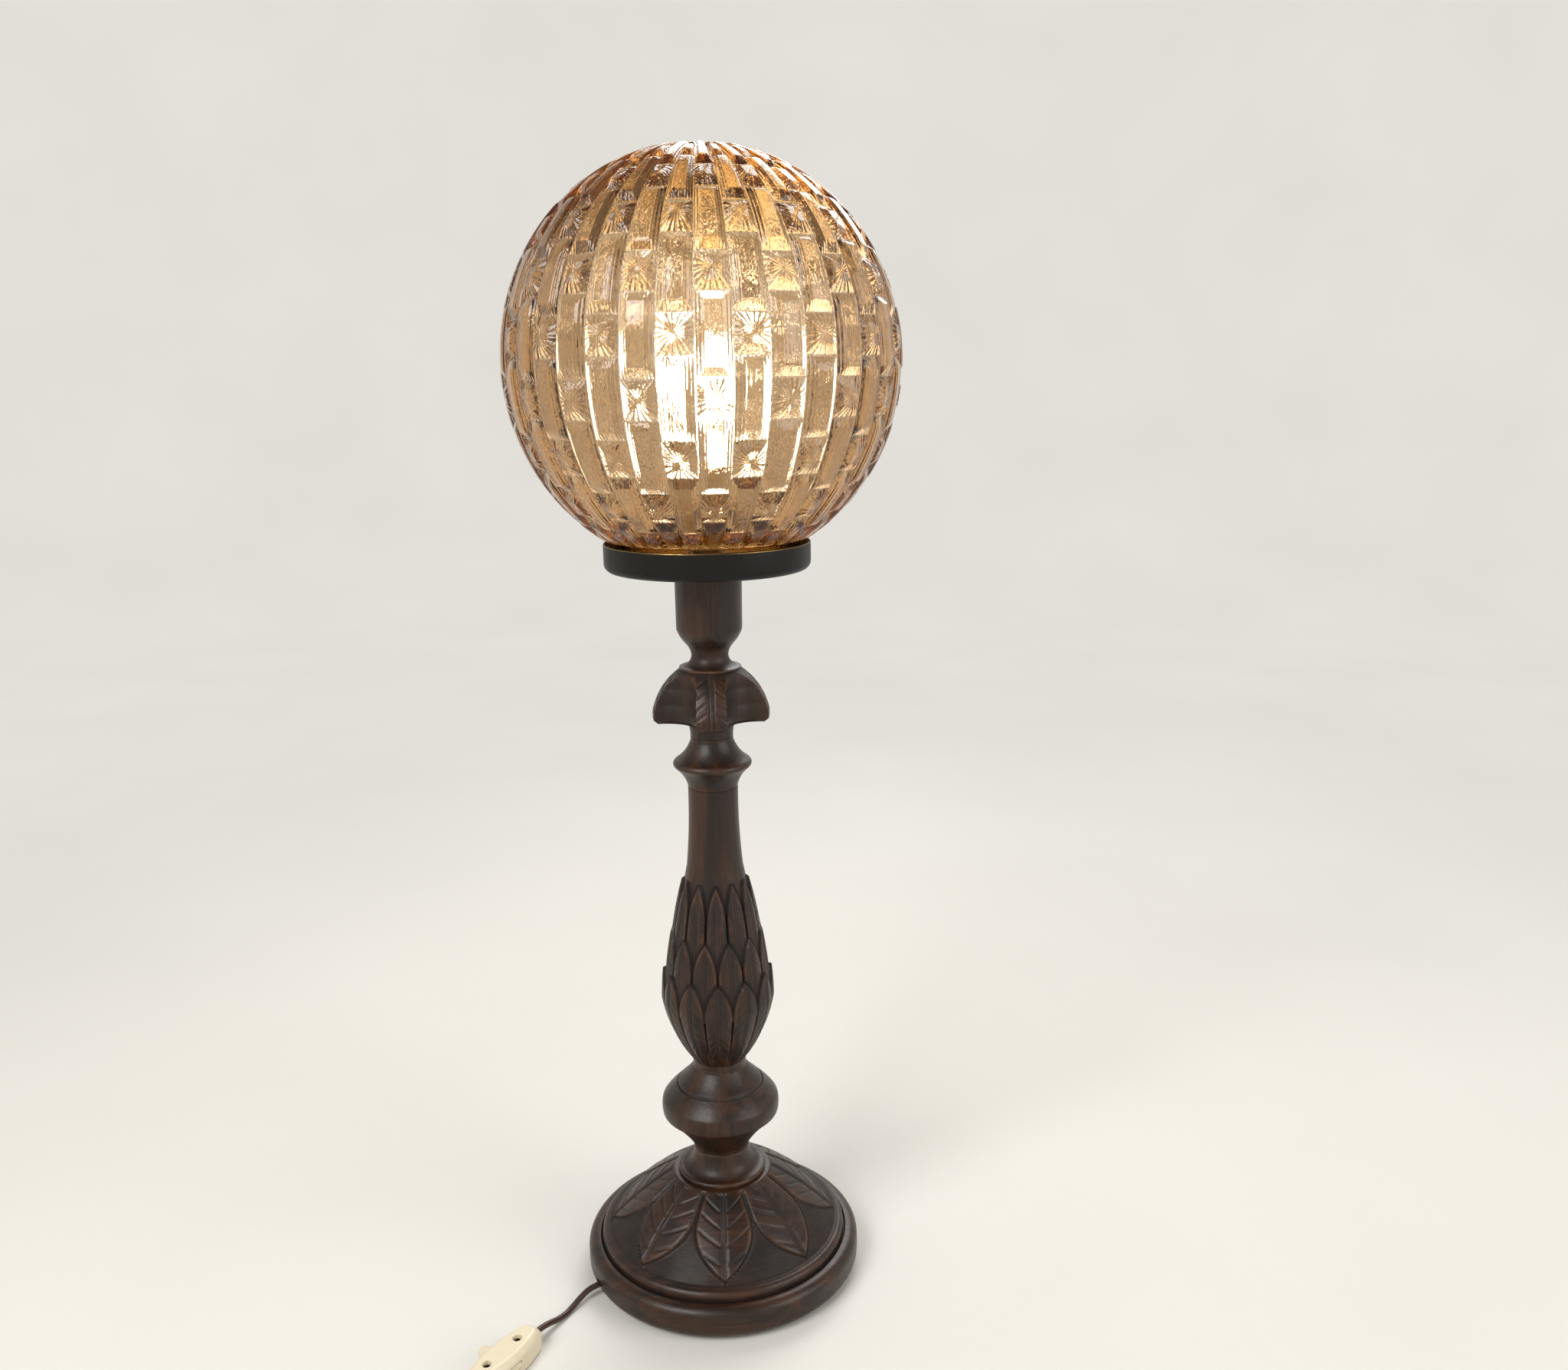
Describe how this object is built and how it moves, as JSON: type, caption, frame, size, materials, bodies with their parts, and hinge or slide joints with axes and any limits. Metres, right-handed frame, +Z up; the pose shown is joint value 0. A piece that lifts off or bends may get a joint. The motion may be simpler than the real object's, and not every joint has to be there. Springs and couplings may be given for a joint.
{
  "type": "table lamp",
  "caption": "Table lamp with a turned and carved dark wood stand, a black metal gallery, a ball of pressed amber glass and a cord with an inline push switch.",
  "frame": {"origin": "centre of the foot on the surface that the lamp stands on", "axes": "+Z up along the stand, -Y towards the front of the picture, +X to its right"},
  "size_m": [0.3082, 0.3326, 0.7595],
  "materials": {
    "wood": "dark stain under satin varnish",
    "felt": "pressed felt",
    "black_metal": "satin black paint",
    "steel": "zinc plated",
    "seat_rubber": "matt",
    "amber_glass": "pressed, tinted amber",
    "opal_glass": "opal",
    "ceramic": "glazed white ceramic",
    "brass": "plain",
    "aluminium": "rolled",
    "black_plastic": "moulded",
    "ivory_plastic": "moulded",
    "brown_plastic": "soft sheath"
  },
  "bodies": {
    "stand": {"foot": "wood", "foot_felt": "felt", "cord_bush": "black_plastic", "foot_washer": "steel", "foot_nut": "steel", "stem_tube": "steel", "spool": "wood", "knop": "wood", "vase": "wood", "neck_ring": "wood", "leaf_collar": "wood", "candle_cup": "wood", "gallery": "black_metal", "gallery_clips": "steel", "glass_gasket": "seat_rubber", "gallery_washer": "steel", "gallery_nut": "steel", "holder_cap": "ivory_plastic", "holder_block": "ceramic", "holder_contact": "brass", "terminal_screws": "brass", "screw_shell": "brass", "holder_skirt": "ivory_plastic", "core_wires": "brown_plastic", "inner_cord": "brown_plastic", "cord_lead": "brown_plastic", "switch_base": "ivory_plastic", "switch_cover": "ivory_plastic", "switch_screws": "steel", "switch_contacts": "brass", "cord_tail": "brown_plastic", "cord_coil": "brown_plastic", "coil_tie": "brown_plastic", "cord_end": "brown_plastic", "plug_body": "brown_plastic", "plug_pins": "brass"},
    "globe": {"globe": "amber_glass"},
    "bulb": {"bulb_glass": "opal_glass", "bulb_cap": "aluminium", "bulb_insulator": "ceramic", "bulb_contact": "brass"},
    "push_bar": {"push_bar": "ivory_plastic"}
  },
  "joints": [
    {"name": "globe_lift", "type": "slide", "parent": "stand", "child": "globe", "axis": [0, 0, 1], "range_m": [0, 0.15]},
    {"name": "bulb_turn", "type": "hinge", "parent": "stand", "child": "bulb", "pos_m": [0, 0, 0.56], "axis": [0, 0, 1], "range_deg": [0, 1080]},
    {"name": "switch_push", "type": "slide", "parent": "stand", "child": "push_bar", "axis": [0.8192, -0.5736, 0], "range_m": [0, 0.006]}
  ]
}
